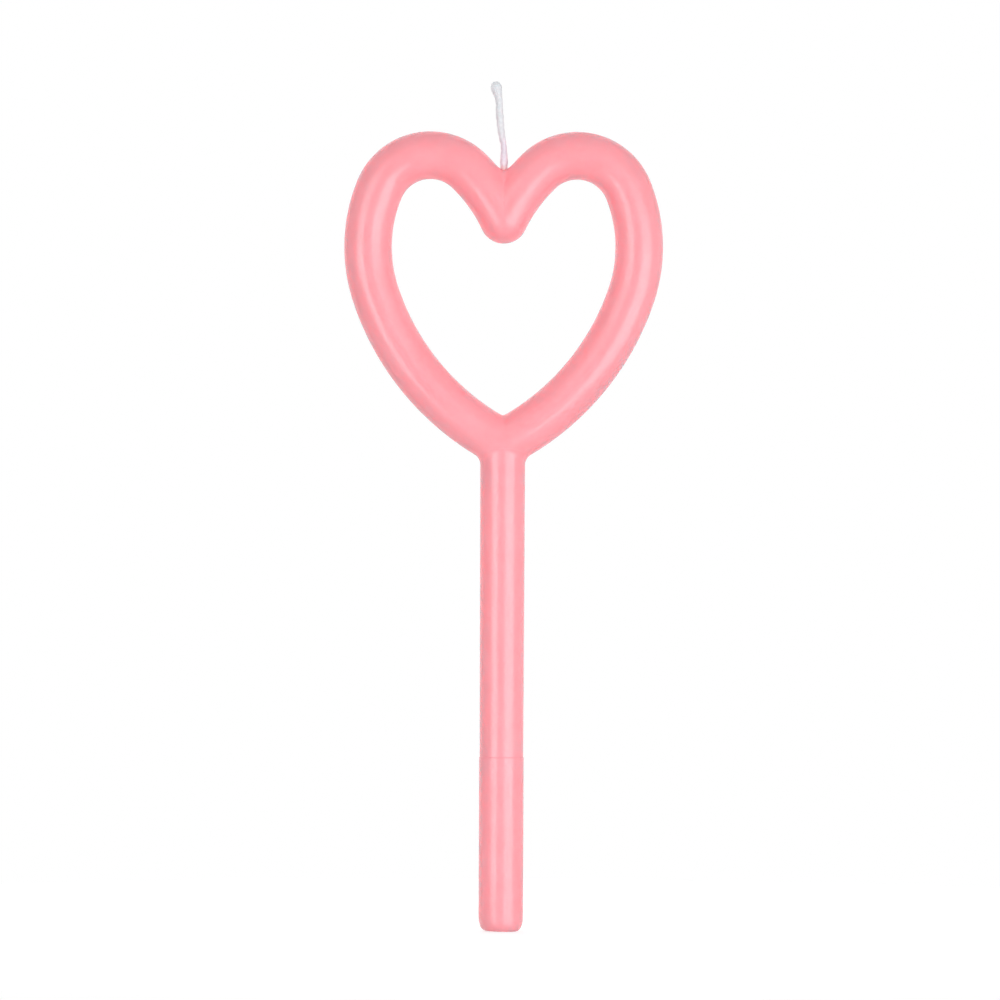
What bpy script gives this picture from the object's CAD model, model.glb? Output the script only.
"""Looks of the heart birthday candle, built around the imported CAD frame."""

import math

import bpy
import numpy as np
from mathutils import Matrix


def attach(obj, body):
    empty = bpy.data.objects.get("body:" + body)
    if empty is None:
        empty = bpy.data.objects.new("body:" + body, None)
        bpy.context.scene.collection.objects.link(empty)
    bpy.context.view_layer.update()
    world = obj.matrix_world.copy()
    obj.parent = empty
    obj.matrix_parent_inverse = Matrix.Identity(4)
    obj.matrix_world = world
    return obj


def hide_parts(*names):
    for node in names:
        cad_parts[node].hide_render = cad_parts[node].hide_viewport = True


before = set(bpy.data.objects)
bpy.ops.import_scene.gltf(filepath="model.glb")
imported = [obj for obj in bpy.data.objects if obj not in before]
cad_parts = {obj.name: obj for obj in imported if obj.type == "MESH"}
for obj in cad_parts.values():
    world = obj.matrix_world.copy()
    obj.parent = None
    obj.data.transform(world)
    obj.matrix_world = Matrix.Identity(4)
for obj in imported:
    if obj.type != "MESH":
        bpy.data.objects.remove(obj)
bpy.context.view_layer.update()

MM = 0.001
MIRROR = np.array([-1.0, 1.0, 1.0])
TINY = 1e-6

# The rod of the heart and its bends, as in the part's source: millimetres and degrees.
ROD_R = 3.75
CLEFT_ANGLE = 25.5
FLANK_R, FLANK_ANGLE = 26.5, 20.5
CROWN_R, CROWN_ANGLE = 8.65, 112.0
SHOULDER_R, SHOULDER_ANGLE = 23.8, 40.5
SIDE_R = 40.5
# Heading at which the plain sections of the long side end and those of the point start.
SIDE_SPLIT = 230.0
# Smoothing where the two halves meet: pull of a round, how fast it fades along the rod, and the rounds.
SOFTEN_PULL, SOFTEN_FADE = 0.5, 1.2
CREASE_ROUNDS, POINT_ROUNDS = 6, 16
# Share of the rod's radius over which the smoothing of the crease sets in.
CREASE_REACH = 0.4
# Wax that has run into the top of the crease: share of the radius at which it starts, and how full it is.
POOL_FROM, POOL_ROUNDS = 0.72, 480

# Stem and foot.
STEM_LEN = 49.2
STEM_R = 3.425
STEM_TOP_R = 3.525
FOOT_LEN = 27.4
FOOT_R = 3.5
# The worn edge of the foot: how far it reaches in and up, and how blunt it is.
FOOT_EDGE_IN, FOOT_EDGE_UP, FOOT_EDGE_POWER = 1.2, 2.6, 2.3
FOOT_LIP_R = 0.2
WELL_R, WELL_END_R, WELL_DEPTH = 1.8, 0.5, 7.0
# One side of the foot's end is higher: by how much, up to which height, and how far from the wall it starts.
END_LIFT, END_LIFT_REACH, END_LIFT_FROM = 0.12, 4.0, 0.6
# Rings that divide flat faces, as shares of the radius: small ends, the face at the ring, and the foot's end.
END_SHARE, RING_SHARE, FOOT_END_SHARES = 0.5, 0.7, (0.2, 0.4)
# Hairline between the pieces. Light inside the wax can't cross it, and fades within this distance of it.
SEAM_GAP = 0.001
SEAM_FADE = 2.0
SEAM_TINT = (1.0, 0.97, 0.97)

# The neck between heart and stem, and the rounds that smooth it where it passes the mitre of the point.
NECK_FILLET_R = 1.8
NECK_ROUNDS = 6
# Its plug inside the heart: a ledge past the fillet, then rings by share of the radius, inset and rise.
PLUG_LEDGE, PLUG_LEDGE_RISE = 0.1, 0.06
PLUG_RINGS = ((1.0, 0.5, 0.6), (0.6, 0.0, 1.4), (0.25, 0.0, 1.8))

# Wick: depth of the bore, then a straight rise and three bends, then the drop on the tip.
WICK_IN = 9.0
WICK_RISE = 3.35
WICK_BENDS = ((-9.0, 11.0), (33.0, 10.0), (-6.0, 11.0))
DROP_LEN = 2.75
DROP_R = 0.87
DROP_CAP = 1.08
COAT_R = 0.55
CORE_R = 0.38
# Height above the crease and radius of the waxed wick, from the bottom of its bore to the drop.
COAT_STATIONS = (
    (-9.0, 0.55), (-0.2, 0.55), (0.4, 0.6), (0.8, 0.58), (1.1, 0.55), (1.5, 0.55),
    (2.2, 0.64), (3.1, 0.5), (4.6, 0.45), (6.4, 0.53), (7.6, 0.56), (8.7, 0.6), (10.0, 0.565),
    (11.2, 0.54), (12.2, 0.6), (13.2, 0.82), (13.8, DROP_R), (16.0, DROP_R),
)
# Points on that profile, and the rounds that smooth it.
COAT_POINTS, COAT_ROUNDS = 600, 60
# Distance between sections of the wax and of a strand, and the least radius that is kept at the tip.
COAT_STEP, STRAND_STEP, TIP_R = 0.1, 0.12, 0.02
# The plait that shows through the wax: pitch, height of its relief, and shift between its two rows.
PLAIT_PITCH, PLAIT_EMBOSS, PLAIT_SHIFT = 2.4, 0.022, 0.7
# Lumps in the wax: their height, and waves by rate along the wick, rate round it and start.
LUMP_HEIGHT = 0.011
LUMP_WAVES = ((1.9, 1, 0.0), (3.1, -2, 1.0), (5.3, 0, 0.4))
# Plait and lumps start at this height above the crease, and set in over these lengths there and at the tip.
RELIEF_FROM, RELIEF_FADE, RELIEF_TIP_FADE = 0.8, 1.0, 0.5
# Strands of the core: how many, radius and swing as shares of the core's, and steps short of the drop.
STRANDS, STRAND_SHARE, STRAND_SWING, STRAND_SHORT = 3, 0.45, 0.5, 2

# Number of points round each section, and of sections along each stretch.
AROUND = 96
AROUND_WICK = 40
AROUND_STRAND = 14
AROUND_FLOOR = 128
FOLD_COUNT, CROWN_COUNT, SHOULDER_COUNT, SIDE_COUNT, POINT_COUNT = 56, 44, 32, 40, 56
NECK_FILLET_COUNT, NECK_WALL_COUNT = 12, 6
STEM_COUNT = 50
FOOT_COUNT, FOOT_EDGE_COUNT, FOOT_LIP_COUNT = 30, 24, 8
BORE_COUNT = 24
SHARP_ANGLE = 50.0

# Linear colours.
WHITE = (1.0, 1.0, 1.0)
PINK = (0.995, 0.342, 0.39)
PINK_LIGHT = (0.995, 0.354, 0.403)
PINK_DEEP = (0.99, 0.331, 0.377)
WAX_WHITE = (0.77, 0.79, 0.82)
WAX_TINGE = (0.76, 0.71, 0.79)
WAX_BLUSH = (0.86, 0.82, 0.89)
WAX_ROSE = (0.99, 0.72, 0.73)
WAX_ROOT = (0.995, 0.45, 0.48)
COTTON = (0.86, 0.85, 0.84)
COTTON_SHADE = (0.66, 0.64, 0.62)
STREAK_GREY = (0.9, 0.9, 0.9)

# Noises of the materials: scale per metre, detail and roughness.
MOTTLE, RIPPLE, GRAIN = (190, 4, 0.55), (420, 2, 0.5), (2600, 3, 0.5)
STREAK, FIBRE = (1500, 3, 0.6), (6000, 4, 0.7)
# Colours by the value of a noise, and on the wick by height, as shares of BLUSH_REACH above the crease.
MOTTLE_TONES = ((0.3, PINK_DEEP), (0.5, PINK), (0.7, PINK_LIGHT))
STREAK_TONES = ((0.35, STREAK_GREY), (0.6, WHITE))
FIBRE_TONES = ((0.3, COTTON_SHADE), (0.6, COTTON))
BLUSH_TONES = ((0.06, WAX_ROOT), (0.115, WAX_ROSE), (0.19, WAX_BLUSH), (0.5, WAX_TINGE), (0.85, WAX_WHITE))
BLUSH_REACH = 8.0
# Values of a noise that are spread over a range of roughness, and those ranges.
NOISE_RANGE = (0.3, 0.7)
PINK_ROUGHNESS, WAX_ROUGHNESS, COTTON_ROUGHNESS = (0.2, 0.27), (0.3, 0.45), (0.8, 0.95)
# Bumps: strength, and height in metres.
RIPPLE_BUMP, GRAIN_BUMP = (0.09, 0.00012), (0.08, 0.00003)
STREAK_BUMP, FIBRE_BUMP = (0.25, 0.00006), (0.6, 0.00005)
PINK_IOR, PINK_SPECULAR = 1.45, 0.56
WAX_IOR, WAX_SCATTER_WEIGHT = 1.44, 0.6
COTTON_SHEEN = 0.3
# How far light spreads inside the wax: share of each colour, and scale in metres.
PINK_SCATTER, PINK_SCATTER_SCALE = (2.8, 0.14, 0.15), 0.002
WAX_SCATTER, WAX_SCATTER_SCALE = (1.0, 0.9, 0.9), 0.0003

# The photograph's frame: width in millimetres, what its centre shows, and the tilt of the picture.
FRAME_WIDTH = 156.9
VIEW_X, VIEW_Z = -0.4, 67.667
VIEW_DISTANCE = 1200.0
VIEW_ROLL = 0.25
SENSOR = 36.0

# Studio.
FLOOR_R = 165.0
FLOOR_PALE = (0.45, 0.45, 0.45)
FLOOR_LIFT = 0.7
# Soft light on diffuse surfaces, which falls off with the cosine: from above, and from the bright backdrop
# behind the candle and a little to its left.
DOME_AXES = ((0.0, 0.0, 0.45), (-0.3, 1.7, 0.0))
LAMP_AIM_Z = 105.0
LAMP_DISTANCE = 1500.0
# Azimuth range of each softbox, seen from the heart, and its strips: lower and upper elevation, and radiance.
SOFTBOXES = {
    "box_left": ((-56.5, -23.5), ((-8.0, 4.0, 4.8), (4.0, 16.0, 3.2), (16.0, 28.0, 2.3))),
    "box_left_low": ((-44.0, -25.0), ((-30.0, -8.0, 4.2),)),
    "box_right": ((15.0, 63.0), ((-30.0, -8.0, 4.3), (-8.0, 4.0, 4.4), (4.0, 16.0, 2.0), (16.0, 28.0, 0.85))),
    "fill_right": ((70.0, 120.0), ((-35.0, 35.0, 0.33),)),
}


def beside(heading):
    """Direction to the right of a heading, in the XZ plane; headings turn clockwise from +Z."""
    a = np.radians(heading)
    return np.stack([np.cos(a), -np.sin(a)], axis=-1)


def half_heart_bends():
    """Centre, radius, first and last heading of the bends of the right half, from the fold at the origin."""
    bends = {}
    point, heading = np.zeros(2), CLEFT_ANGLE
    for name, radius, turn in (
        ("flank", FLANK_R, FLANK_ANGLE),
        ("crown", CROWN_R, CROWN_ANGLE),
        ("shoulder", SHOULDER_R, SHOULDER_ANGLE),
        ("side", SIDE_R, 0.0),
    ):
        centre = point + radius * beside(heading)
        bends[name] = (centre, radius, heading, heading + turn)
        heading += turn
        point = centre - radius * beside(heading)
    return bends


BENDS = half_heart_bends()
FLANK_C = BENDS["flank"][0]
SIDE_C = BENDS["side"][0]
POINT_Z = SIDE_C[1] - math.sqrt(SIDE_R ** 2 - SIDE_C[0] ** 2)
CREASE_Z = FLANK_C[1] + math.sqrt((FLANK_R + ROD_R) ** 2 - FLANK_C[0] ** 2)
HEART_Z = FOOT_LEN + STEM_LEN - POINT_Z


def in_space(xz, y):
    """Points of the XZ plane, moved to depth y and up to the heart's place."""
    flat = np.broadcast_to(y, xz.shape[:-1])
    return np.stack([xz[..., 0], flat, xz[..., 1] + HEART_Z], axis=-1)


def turns(count):
    """Angles of the points round a section."""
    return np.linspace(0, 2 * np.pi, count, endpoint=False)


def upright(r, z, turn):
    """Sections round the Z axis, from radii and heights."""
    return np.stack([r * np.cos(turn), r * np.sin(turn), z + 0 * turn], axis=-1)


def smooth_step(x):
    t = np.clip(x, 0, 1)
    return t * t * (3 - 2 * t)


def soften(lines, weight, rounds):
    """Rounds the crease where lines meet their mirror images; lines[0] lies on the centre plane."""
    fade = 1 - smooth_step(np.linspace(0, SOFTEN_FADE, len(lines) - 1))[:, None]
    pull = SOFTEN_PULL * (fade * weight)[..., None]
    for _ in range(rounds):
        before = np.concatenate([lines[1:2] * MIRROR, lines[:-2]])
        lines[:-1] += pull * ((before + lines[1:]) / 2 - lines[:-1])
    return lines


def fold_lines(across, depth, count):
    """From the centre plane, over the ball in the cleft or from the crease above it, to the flank's end."""
    centre, radius, _, last = BENDS["flank"]
    offset = radius - across
    first = np.degrees(np.arccos(centre[0] / (radius - np.minimum(across, 0))))
    ball = np.maximum(across, 0) * math.radians(90 - CLEFT_ANGLE)
    flank = offset * np.radians(last - first)
    run = np.linspace(0, 1, count)[:, None] * (ball + flank)
    on_ball = 90 - np.degrees(run / np.maximum(across, TINY))
    on_flank = first + np.degrees((run - ball) / offset)
    xz = np.where(
        (run < ball)[..., None],
        across[:, None] * beside(on_ball),
        centre - offset[:, None] * beside(on_flank),
    )
    crease = smooth_step(-across / ROD_R / CREASE_REACH)
    pool = smooth_step((-across / ROD_R - POOL_FROM) / (1 - POOL_FROM))
    lines = soften(in_space(xz, depth), crease, CREASE_ROUNDS)
    return soften(lines, pool, POOL_ROUNDS)


def bend_lines(name, across, depth, count, last=None):
    """Along one of the plain bends, up to a heading or to the end of the bend."""
    centre, radius, first, end = BENDS[name]
    headings = np.linspace(first, end if last is None else last, count)[:, None]
    xz = centre - (radius - across)[:, None] * beside(headings + 0 * across)
    return in_space(xz, depth)


def point_lines(across, depth, count):
    """From the last plain section of the long side to the centre plane at the point of the heart."""
    offset = SIDE_R - across
    last = 360 - np.degrees(np.arccos(SIDE_C[0] / offset))
    headings = last + np.linspace(0, 1, count)[:, None] * (SIDE_SPLIT - last)
    xz = SIDE_C - offset[:, None] * beside(headings)
    return soften(in_space(xz, depth), np.ones_like(across), POINT_ROUNDS)[::-1]


def heart_rings():
    """The heart as a closed loop of sections."""
    turn = turns(AROUND)
    across, depth = ROD_R * np.cos(turn), ROD_R * np.sin(turn)
    right = np.concatenate([
        fold_lines(across, depth, FOLD_COUNT),
        bend_lines("crown", across, depth, CROWN_COUNT)[1:],
        bend_lines("shoulder", across, depth, SHOULDER_COUNT)[1:],
        bend_lines("side", across, depth, SIDE_COUNT, SIDE_SPLIT)[1:],
        point_lines(across, depth, POINT_COUNT)[1:],
    ])
    left = right[-2:0:-1] * MIRROR
    return np.concatenate([right, left])


def arc(cx, cz, radius, first, last, count):
    """Points of an arc in a profile; angles in degrees from +r towards +z."""
    a = np.radians(np.linspace(first, last, count))
    return np.stack([cx + radius * np.cos(a), cz + radius * np.sin(a)], axis=-1)


def lathe(profile):
    """Sections of a turned piece, from its profile of radius and height."""
    return upright(profile[:, 0:1], profile[:, 1:2], turns(AROUND))


def under_heart(x, y):
    """Height of the underside of the heart above a point near the stem."""
    tube = np.sqrt(np.maximum(ROD_R ** 2 - y ** 2, 0))
    return HEART_Z + SIDE_C[1] - np.sqrt((SIDE_R + tube) ** 2 - (np.abs(x) - SIDE_C[0]) ** 2)


NECK_Z = under_heart(0, 0)
# The rounded lip of the foot ends where it meets the wall of the stem.
LIP_TURN = math.degrees(math.acos((STEM_R - FOOT_R + FOOT_LIP_R) / FOOT_LIP_R))
RING_Z = FOOT_LEN - FOOT_LIP_R * (1 - math.sin(math.radians(LIP_TURN)))


def blurred(values):
    """Values round a section, each mixed with its two neighbours."""
    return (np.roll(values, 1) + 2 * values + np.roll(values, -1)) / 4


def neck_rings():
    """The neck under the point: a flat joint with the stem, a fillet to the heart, then a plug inside it."""
    turn = turns(AROUND)
    x, y = np.abs(STEM_TOP_R * np.cos(turn)), STEM_TOP_R * np.sin(turn)
    tube = np.sqrt(ROD_R ** 2 - y ** 2)
    reach, run = SIDE_R + tube, x - SIDE_C[0]
    outward = tube * run / reach * np.abs(np.cos(turn)) + y * np.sin(turn)
    slope = np.arctan2(outward, tube * np.sqrt(reach ** 2 - run ** 2) / reach)
    corner_z = under_heart(x, y)
    for _ in range(NECK_ROUNDS):
        corner_z, slope = blurred(corner_z), blurred(slope)
    full = np.pi / 2 - slope
    start_z = corner_z - NECK_FILLET_R * np.tan(full / 2)
    angle = np.linspace(0, 1, NECK_FILLET_COUNT)[:, None] * full
    r = STEM_TOP_R + NECK_FILLET_R * (1 - np.cos(angle))
    z = start_z + NECK_FILLET_R * np.sin(angle)
    wall = np.linspace(0, 1, NECK_WALL_COUNT)[:-1, None]
    wall_r, wall_z = STEM_TOP_R + 0 * wall * turn, NECK_Z + wall * (start_z - NECK_Z)
    ledge_r = r[-1] + PLUG_LEDGE * np.cos(slope)
    ledge_z = z[-1] + PLUG_LEDGE * np.sin(slope) + PLUG_LEDGE_RISE
    plug_r = np.stack([ledge_r] + [share * r[-1] - inset for share, inset, _ in PLUG_RINGS])
    plug_z = np.stack([ledge_z] + [z[-1] + rise for _, _, rise in PLUG_RINGS])
    r = np.concatenate([END_SHARE * wall_r[:1], wall_r, r, plug_r])
    z = np.concatenate([wall_z[:1], wall_z, z, plug_z])
    return upright(r, z, turn)


def stem_rings():
    """The stem from its well, over the face at the ring and up the wall, to the flat joint at the neck."""
    base_z, top_z = RING_Z + SEAM_GAP, NECK_Z - SEAM_GAP
    well = np.array([
        [END_SHARE * WELL_END_R, base_z + WELL_DEPTH],
        [WELL_END_R, base_z + WELL_DEPTH],
        [WELL_R + SEAM_GAP, base_z],
        [RING_SHARE * STEM_R, base_z],
    ])
    low, high = np.array([STEM_R, base_z]), np.array([STEM_TOP_R, top_z])
    wall = low + np.linspace(0, 1, STEM_COUNT)[:, None] * (high - low)
    top = np.array([[END_SHARE * STEM_TOP_R, top_z]])
    return lathe(np.concatenate([well, wall, top]))


def foot_edge(count):
    """Profile of the worn edge, from the flat end to the wall: a quarter of a superellipse."""
    turn = np.linspace(0, np.pi / 2, count)
    r = FOOT_R - FOOT_EDGE_IN * (1 - np.sin(turn) ** (2 / FOOT_EDGE_POWER))
    z = FOOT_EDGE_UP * (1 - np.cos(turn) ** (2 / FOOT_EDGE_POWER))
    return np.stack([r, z], axis=-1)


def foot_rings():
    """The foot from its flat end, over the worn edge, wall and lip, to the cone that fills the well."""
    edge = foot_edge(FOOT_EDGE_COUNT)
    lip_r, lip_z = FOOT_R - FOOT_LIP_R, FOOT_LEN - FOOT_LIP_R
    lip = arc(lip_r, lip_z, FOOT_LIP_R, 0, LIP_TURN, FOOT_LIP_COUNT)
    low, high = edge[-1], lip[0]
    wall = low + np.linspace(0, 1, FOOT_COUNT)[1:-1, None] * (high - low)
    inner = np.array([[share * FOOT_R, 0] for share in FOOT_END_SHARES])
    cone = np.array([
        [RING_SHARE * FOOT_R, RING_Z],
        [WELL_R, RING_Z],
        [WELL_END_R, RING_Z + WELL_DEPTH],
        [END_SHARE * WELL_END_R, RING_Z + WELL_DEPTH],
    ])
    rings = lathe(np.concatenate([inner, edge, wall, lip, cone]))
    near_end = np.clip(1 - rings[..., 2] / END_LIFT_REACH, 0, 1) ** 2
    lift = END_LIFT * smooth_step((FOOT_R - END_LIFT_FROM - rings[..., 0]) / (2 * FOOT_R))
    rings[..., 2] += near_end * lift
    return rings


def bore_rings():
    """The hole for the wick, from its blind end to above the crease."""
    low, high = HEART_Z + CREASE_Z - WICK_IN - SEAM_GAP, HEART_Z + CREASE_Z + ROD_R
    heights = np.linspace(low, high, BORE_COUNT)[:, None]
    return upright(COAT_R + SEAM_GAP + 0 * heights, heights, turns(AROUND_WICK))


def wick_path(spacing):
    """Points and headings along the wick, from the bottom of its bore to the top of the drop."""
    points, headings = [], []
    point, heading = np.array([0.0, CREASE_Z - WICK_IN]), 0.0
    straight = WICK_IN + WICK_RISE
    for radius, turn in ((None, straight),) + WICK_BENDS + ((None, DROP_LEN),):
        length = turn if radius is None else abs(radius) * math.radians(turn)
        bend = 0.0 if radius is None else math.copysign(turn, radius)
        count = max(2, round(length / spacing))
        for k in range(count):
            middle = heading + bend * (k + 0.5) / count
            points.append(point)
            headings.append(heading + bend * k / count)
            a = math.radians(middle)
            point = point + length / count * np.array([math.sin(a), math.cos(a)])
        heading += bend
    points.append(point)
    headings.append(heading)
    return np.array(points), np.array(headings)


def length_along(points):
    """Distance of each point of a path from its start."""
    steps = np.linalg.norm(np.diff(points, axis=0), axis=1)
    return np.concatenate([[0], np.cumsum(steps)])


def coat_radius(height, to_top):
    """Radius of the waxed wick by height above the crease, and by what is left to the top of the drop."""
    heights, radii = np.array(COAT_STATIONS).T
    fine = np.linspace(heights[0], heights[-1], COAT_POINTS)
    rounded = np.interp(fine, heights, radii)
    for _ in range(COAT_ROUNDS):
        rounded[1:-1] = (rounded[:-2] + 2 * rounded[1:-1] + rounded[2:]) / 4
    radius = np.interp(height, fine, rounded)
    cap = np.clip(1 - to_top / DROP_CAP, 0, 1)
    return radius * np.sqrt(np.clip(1 - cap ** 2, 0, 1))


def swept(points, headings, across, depth):
    """Places sections, given as offsets beside the path and in depth, along the wick."""
    xz = points[:, None, :] + across[..., None] * beside(headings)[:, None, :]
    return in_space(xz, depth)


def coat_rings():
    """The wax on the wick, with the relief of the plait and its lumps."""
    points, headings = wick_path(COAT_STEP)
    along = length_along(points)
    to_top = along[-1] - along
    height = points[:, 1] - CREASE_Z
    turn = turns(AROUND_WICK)
    radius = coat_radius(height, to_top)[:, None]
    s = along[:, None]
    wave = 2 * np.pi * s / PLAIT_PITCH
    plait = np.cos(2 * turn + wave) * np.cos(2 * turn - wave + PLAIT_SHIFT)
    lumps = sum(np.sin(rate * s + around * turn + start) for rate, around, start in LUMP_WAVES)
    shown = smooth_step((height - RELIEF_FROM) / RELIEF_FADE) * smooth_step(to_top / RELIEF_TIP_FADE)
    radius = radius + shown[:, None] * (PLAIT_EMBOSS * plait + LUMP_HEIGHT * lumps)
    keep = radius[:, 0] > TIP_R
    across, depth = radius * np.cos(turn), radius * np.sin(turn)
    return swept(points[keep], headings[keep], across[keep], depth[keep])


def strand_rings(which):
    """One of the strands of the plaited cotton core."""
    points, headings = wick_path(STRAND_STEP)
    end = len(points) - round(DROP_R / STRAND_STEP) - STRAND_SHORT
    points, headings = points[:end], headings[:end]
    along = length_along(points)
    phase = (2 * np.pi * (along / PLAIT_PITCH + which / STRANDS))[:, None]
    strand_r = STRAND_SHARE * CORE_R
    turn = turns(AROUND_STRAND)
    across = (CORE_R - strand_r) * np.sin(phase) + strand_r * np.cos(turn)
    depth = STRAND_SWING * CORE_R * np.sin(2 * phase) + strand_r * np.sin(turn)
    return swept(points, headings, across, depth)


def skin(rings, loop):
    """Vertices and faces over rings of points. A loop closes on itself, other skins get a fan at each end."""
    count, around = rings.shape[:2]
    verts = rings.reshape(-1, 3)
    faces = []
    for i in range(count if loop else count - 1):
        low, high = i * around, (i + 1) % count * around
        for j in range(around):
            k = (j + 1) % around
            faces.append((low + j, low + k, high + k, high + j))
    if not loop:
        first, last = len(verts), len(verts) + 1
        verts = np.concatenate([verts, rings[0].mean(0)[None], rings[-1].mean(0)[None]])
        top = (count - 1) * around
        for j in range(around):
            k = (j + 1) % around
            faces.append((first, k, j))
            faces.append((last, top + j, top + k))
    return verts, faces


def volume(verts, faces):
    """Volume of a closed skin, below zero where it faces inwards."""
    total = 0.0
    for face in faces:
        a = verts[face[0]]
        for i, j in zip(face[1:-1], face[2:]):
            total += np.dot(a, np.cross(verts[i], verts[j]))
    return total / 6


def make_mesh(name, skins):
    """A mesh in metres from closed skins, all of them facing outwards."""
    verts, faces, offset = [], [], 0
    for v, f in skins:
        if volume(v, f) < 0:
            f = [face[::-1] for face in f]
        verts.append(v)
        faces += [tuple(i + offset for i in face) for face in f]
        offset += len(v)
    mesh = bpy.data.meshes.new(name)
    mesh.from_pydata((np.concatenate(verts) * MM).tolist(), [], faces)
    return mesh


def shaped(obj, operation, tool_skin):
    """Joins a closed skin to a piece, or cuts it from the piece."""
    tool = bpy.data.objects.new("tool", make_mesh("tool", [tool_skin]))
    bpy.context.scene.collection.objects.link(tool)
    change = obj.modifiers.new("change", "BOOLEAN")
    change.operation, change.solver, change.object = operation, "EXACT", tool
    done = obj.evaluated_get(bpy.context.evaluated_depsgraph_get())
    mesh = bpy.data.meshes.new_from_object(done)
    obj.modifiers.clear()
    obj.data = mesh
    bpy.data.objects.remove(tool)


def make_piece(node, skins, material, changes=()):
    """One piece that rides on the body and stands for a CAD node."""
    name = f"{node}_visual"
    obj = bpy.data.objects.new(name, make_mesh(name, skins))
    bpy.context.scene.collection.objects.link(obj)
    for operation, tool_skin in changes:
        shaped(obj, operation, tool_skin)
    obj.data.shade_smooth()
    obj.data.set_sharp_from_angle(angle=math.radians(SHARP_ANGLE))
    obj.data.materials.clear()
    obj.data.materials.append(material)
    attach(obj, "root")
    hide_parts(node)


class Shader:
    """A material's node tree, with short calls to add and join nodes."""

    def __init__(self, name):
        self.material = bpy.data.materials.new(name)
        self.material.use_nodes = True
        self.tree = self.material.node_tree
        self.tree.nodes.clear()
        self.output = self.tree.nodes.new("ShaderNodeOutputMaterial")

    def node(self, kind, **inputs):
        made = self.tree.nodes.new(kind)
        for key, value in inputs.items():
            made.inputs[key.replace("_", " ")].default_value = value
        return made

    def join(self, source, target):
        self.tree.links.new(source, target)

    def noise(self, vector, scale, detail, roughness):
        made = self.node("ShaderNodeTexNoise", Scale=scale, Detail=detail, Roughness=roughness)
        self.join(vector, made.inputs["Vector"])
        return made.outputs["Fac"]

    def ramp(self, value, stops):
        made = self.tree.nodes.new("ShaderNodeValToRGB")
        elements = made.color_ramp.elements
        while len(elements) < len(stops):
            elements.new(0.5)
        for element, (position, colour) in zip(elements, stops):
            element.position = position
            element.color = (*colour, 1)
        self.join(value, made.inputs["Fac"])
        return made.outputs["Color"]

    def ranged(self, value, source, target, interpolation="LINEAR"):
        made = self.tree.nodes.new("ShaderNodeMapRange")
        made.interpolation_type = interpolation
        for key, number in zip(("From Min", "From Max", "To Min", "To Max"), (*source, *target)):
            made.inputs[key].default_value = number
        self.join(value, made.inputs["Value"])
        return made.outputs["Result"]

    def multiply(self, first, second):
        made = self.tree.nodes.new("ShaderNodeMix")
        made.data_type = "RGBA"
        made.blend_type = "MULTIPLY"
        made.inputs["Factor"].default_value = 1.0
        self.join(first, made.inputs["A"])
        self.join(second, made.inputs["B"])
        return made.outputs["Result"]

    def math(self, operation, first, second):
        made = self.tree.nodes.new("ShaderNodeMath")
        made.operation = operation
        for socket, value in zip(made.inputs, (first, second)):
            if isinstance(value, float):
                socket.default_value = value
            else:
                self.join(value, socket)
        return made.outputs[0]

    def height(self, place):
        made = self.tree.nodes.new("ShaderNodeSeparateXYZ")
        self.join(place, made.inputs["Vector"])
        return made.outputs["Z"]

    def bump(self, height, strength, distance, normal=None):
        made = self.node("ShaderNodeBump", Strength=strength, Distance=distance)
        self.join(height, made.inputs["Height"])
        if normal is not None:
            self.join(normal, made.inputs["Normal"])
        return made.outputs["Normal"]


def pink_wax():
    """Dyed paraffin: satin, a little translucent, faintly mottled, with the soft ripple of a cast rod."""
    s = Shader("pink_wax")
    place = s.tree.nodes.new("ShaderNodeTexCoord").outputs["Object"]
    mottle, ripple, grain = (s.noise(place, *kind) for kind in (MOTTLE, RIPPLE, GRAIN))
    wax = s.node("ShaderNodeBsdfPrincipled", IOR=PINK_IOR, Specular_IOR_Level=PINK_SPECULAR)
    z = s.height(place)
    to_neck, to_ring = (
        s.math("ABSOLUTE", s.math("SUBTRACT", z, joint * MM), 0.0) for joint in (NECK_Z, RING_Z)
    )
    away = s.ranged(s.math("MINIMUM", to_neck, to_ring), (0, SEAM_FADE * MM), (0, 1), "SMOOTHSTEP")
    tint = s.ramp(away, ((0, SEAM_TINT), (1, WHITE)))
    s.join(s.multiply(s.ramp(mottle, MOTTLE_TONES), tint), wax.inputs["Base Color"])
    s.join(s.ranged(ripple, NOISE_RANGE, PINK_ROUGHNESS), wax.inputs["Roughness"])
    normal = s.bump(ripple, *RIPPLE_BUMP)
    s.join(s.bump(grain, *GRAIN_BUMP, normal), wax.inputs["Normal"])
    s.join(away, wax.inputs["Subsurface Weight"])
    wax.subsurface_method = "BURLEY"
    wax.inputs["Subsurface Radius"].default_value = PINK_SCATTER
    wax.inputs["Subsurface Scale"].default_value = PINK_SCATTER_SCALE
    s.join(wax.outputs["BSDF"], s.output.inputs["Surface"])
    return s.material


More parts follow.
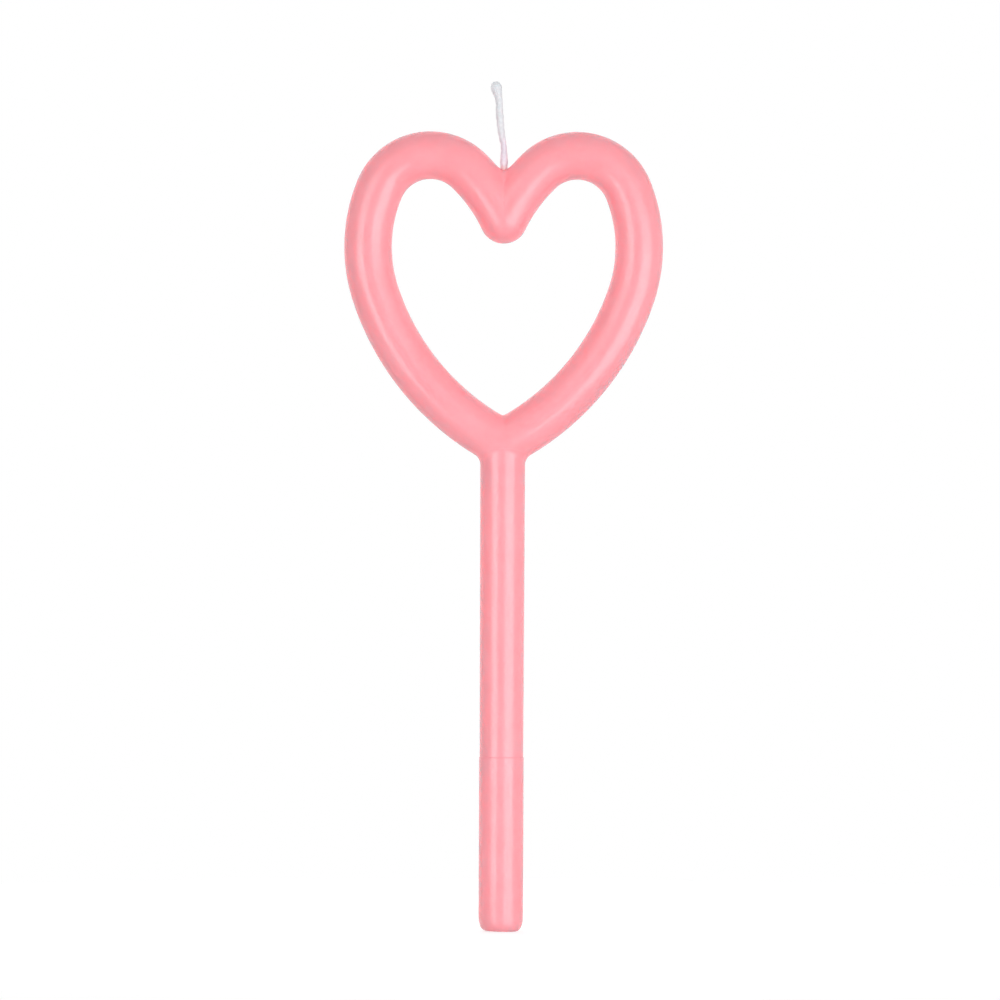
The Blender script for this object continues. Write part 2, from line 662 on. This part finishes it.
def clear_wax():
    """White paraffin on the wick: milky, streaked along the plait, blushing pink where it meets the heart."""
    s = Shader("clear_wax")
    place = s.tree.nodes.new("ShaderNodeTexCoord").outputs["Object"]
    crease = (HEART_Z + CREASE_Z) * MM
    climb = s.ranged(s.height(place), (crease, crease + BLUSH_REACH * MM), (0, 1))
    streak = s.noise(place, *STREAK)
    wax = s.node("ShaderNodeBsdfPrincipled", IOR=WAX_IOR, Subsurface_Weight=WAX_SCATTER_WEIGHT)
    s.join(s.multiply(s.ramp(climb, BLUSH_TONES), s.ramp(streak, STREAK_TONES)), wax.inputs["Base Color"])
    s.join(s.ranged(streak, NOISE_RANGE, WAX_ROUGHNESS), wax.inputs["Roughness"])
    s.join(s.bump(streak, *STREAK_BUMP), wax.inputs["Normal"])
    wax.inputs["Subsurface Radius"].default_value = WAX_SCATTER
    wax.inputs["Subsurface Scale"].default_value = WAX_SCATTER_SCALE
    s.join(wax.outputs["BSDF"], s.output.inputs["Surface"])
    return s.material


def cotton():
    """Bleached cotton yarn: matt, with fine fibres along the strands."""
    s = Shader("cotton")
    place = s.tree.nodes.new("ShaderNodeTexCoord").outputs["Object"]
    fibre = s.noise(place, *FIBRE)
    yarn = s.node("ShaderNodeBsdfPrincipled", Sheen_Weight=COTTON_SHEEN)
    s.join(s.ramp(fibre, FIBRE_TONES), yarn.inputs["Base Color"])
    s.join(s.ranged(fibre, NOISE_RANGE, COTTON_ROUGHNESS), yarn.inputs["Roughness"])
    s.join(s.bump(fibre, *FIBRE_BUMP), yarn.inputs["Normal"])
    s.join(yarn.outputs["BSDF"], s.output.inputs["Surface"])
    return s.material


def seen_rays(tree):
    """1 for camera, glossy and transmission rays, which see the plain white of the set."""
    path = tree.nodes.new("ShaderNodeLightPath")
    result = path.outputs["Is Camera Ray"]
    for name in ("Is Glossy Ray", "Is Transmission Ray"):
        larger = tree.nodes.new("ShaderNodeMath")
        larger.operation = "MAXIMUM"
        tree.links.new(result, larger.inputs[0])
        tree.links.new(path.outputs[name], larger.inputs[1])
        result = larger.outputs[0]
    return result


def make_floor():
    """A round pale floor that keeps the candle's shadow and looks white beside the white set."""
    s = Shader("floor")
    pale = s.node("ShaderNodeBsdfDiffuse", Color=(*FLOOR_PALE, 1))
    lift = s.node("ShaderNodeEmission", Color=(*WHITE, 1))
    s.join(s.math("MULTIPLY", seen_rays(s.tree), FLOOR_LIFT), lift.inputs["Strength"])
    both = s.tree.nodes.new("ShaderNodeAddShader")
    s.join(pale.outputs[0], both.inputs[0])
    s.join(lift.outputs[0], both.inputs[1])
    s.join(both.outputs[0], s.output.inputs["Surface"])
    turn = turns(AROUND_FLOOR)
    rim = FLOOR_R * MM * np.stack([np.cos(turn), np.sin(turn), 0 * turn], axis=-1)
    mesh = bpy.data.meshes.new("floor")
    mesh.from_pydata(rim.tolist(), [], [tuple(range(len(rim)))])
    mesh.materials.append(s.material)
    floor = bpy.data.objects.new("floor", mesh)
    floor.visible_shadow = False
    bpy.context.scene.collection.objects.link(floor)


def make_world():
    """White for the camera and for reflections; for diffuse light a soft dome."""
    world = bpy.data.worlds.new("studio")
    world.use_nodes = True
    tree = world.node_tree
    tree.nodes.clear()
    seen = tree.nodes.new("ShaderNodeBackground")
    dome = tree.nodes.new("ShaderNodeBackground")
    place = tree.nodes.new("ShaderNodeTexCoord")
    total = tree.nodes.new("ShaderNodeMath")
    mix = tree.nodes.new("ShaderNodeMixShader")
    output = tree.nodes.new("ShaderNodeOutputWorld")
    seen.inputs["Color"].default_value = (*WHITE, 1)
    dome.inputs["Color"].default_value = (*WHITE, 1)
    for axis, socket in zip(DOME_AXES, total.inputs):
        towards = tree.nodes.new("ShaderNodeVectorMath")
        towards.operation = "DOT_PRODUCT"
        towards.inputs[1].default_value = axis
        above_zero = tree.nodes.new("ShaderNodeMath")
        above_zero.operation = "MAXIMUM"
        above_zero.inputs[1].default_value = 0
        tree.links.new(place.outputs["Generated"], towards.inputs[0])
        tree.links.new(towards.outputs["Value"], above_zero.inputs[0])
        tree.links.new(above_zero.outputs[0], socket)
    tree.links.new(total.outputs[0], dome.inputs["Strength"])
    tree.links.new(seen_rays(tree), mix.inputs["Fac"])
    tree.links.new(dome.outputs[0], mix.inputs[1])
    tree.links.new(seen.outputs[0], mix.inputs[2])
    tree.links.new(mix.outputs[0], output.inputs["Surface"])
    bpy.context.scene.world = world


def make_strip(name, azimuths, elevations, radiance):
    """A rectangular lamp that fills these angles, seen from the heart; azimuth 0 is the camera's side."""
    azimuth, elevation = math.radians(sum(azimuths) / 2), math.radians(sum(elevations) / 2)
    wide, tall = math.radians(azimuths[1] - azimuths[0]), math.radians(elevations[1] - elevations[0])
    distance = LAMP_DISTANCE * MM
    lamp = bpy.data.lights.new(name, "AREA")
    lamp.shape = "RECTANGLE"
    lamp.size = 2 * distance * math.tan(wide / 2)
    lamp.size_y = 2 * distance * math.tan(tall / 2)
    lamp.energy = radiance * math.pi * lamp.size * lamp.size_y
    obj = bpy.data.objects.new(name, lamp)
    level = distance * math.cos(elevation)
    obj.location = (
        level * math.sin(azimuth),
        -level * math.cos(azimuth),
        LAMP_AIM_Z * MM + distance * math.sin(elevation),
    )
    obj.rotation_euler = (math.pi / 2 + elevation, 0, azimuth)
    obj.visible_camera = False
    bpy.context.scene.collection.objects.link(obj)


def make_camera():
    """The photograph's view: straight from the front, with the picture's own tilt."""
    lens = bpy.data.cameras.new("camera")
    lens.sensor_width = SENSOR
    lens.lens = SENSOR * VIEW_DISTANCE / FRAME_WIDTH
    camera = bpy.data.objects.new("camera", lens)
    camera.location = (VIEW_X * MM, -VIEW_DISTANCE * MM, VIEW_Z * MM)
    camera.rotation_euler = (math.pi / 2, -math.radians(VIEW_ROLL), 0)
    bpy.context.scene.collection.objects.link(camera)
    bpy.context.scene.camera = camera


def make_candle():
    """The five pieces, each in its own material."""
    wax, white, yarn = pink_wax(), clear_wax(), cotton()
    neck, bore = skin(neck_rings(), False), skin(bore_rings(), False)
    make_piece("heart", [skin(heart_rings(), True)], wax, (("UNION", neck), ("DIFFERENCE", bore)))
    make_piece("stem", [skin(stem_rings(), False)], wax)
    make_piece("foot", [skin(foot_rings(), False)], wax)
    make_piece("wick_core", [skin(strand_rings(k), False) for k in range(STRANDS)], yarn)
    make_piece("wick_coat", [skin(coat_rings(), False)], white)


make_camera()
make_candle()
make_floor()
make_world()
for box_name, (azimuths, strips) in SOFTBOXES.items():
    for lower, upper, radiance in strips:
        make_strip(box_name, azimuths, (lower, upper), radiance)
bpy.context.scene.view_settings.view_transform = "Standard"
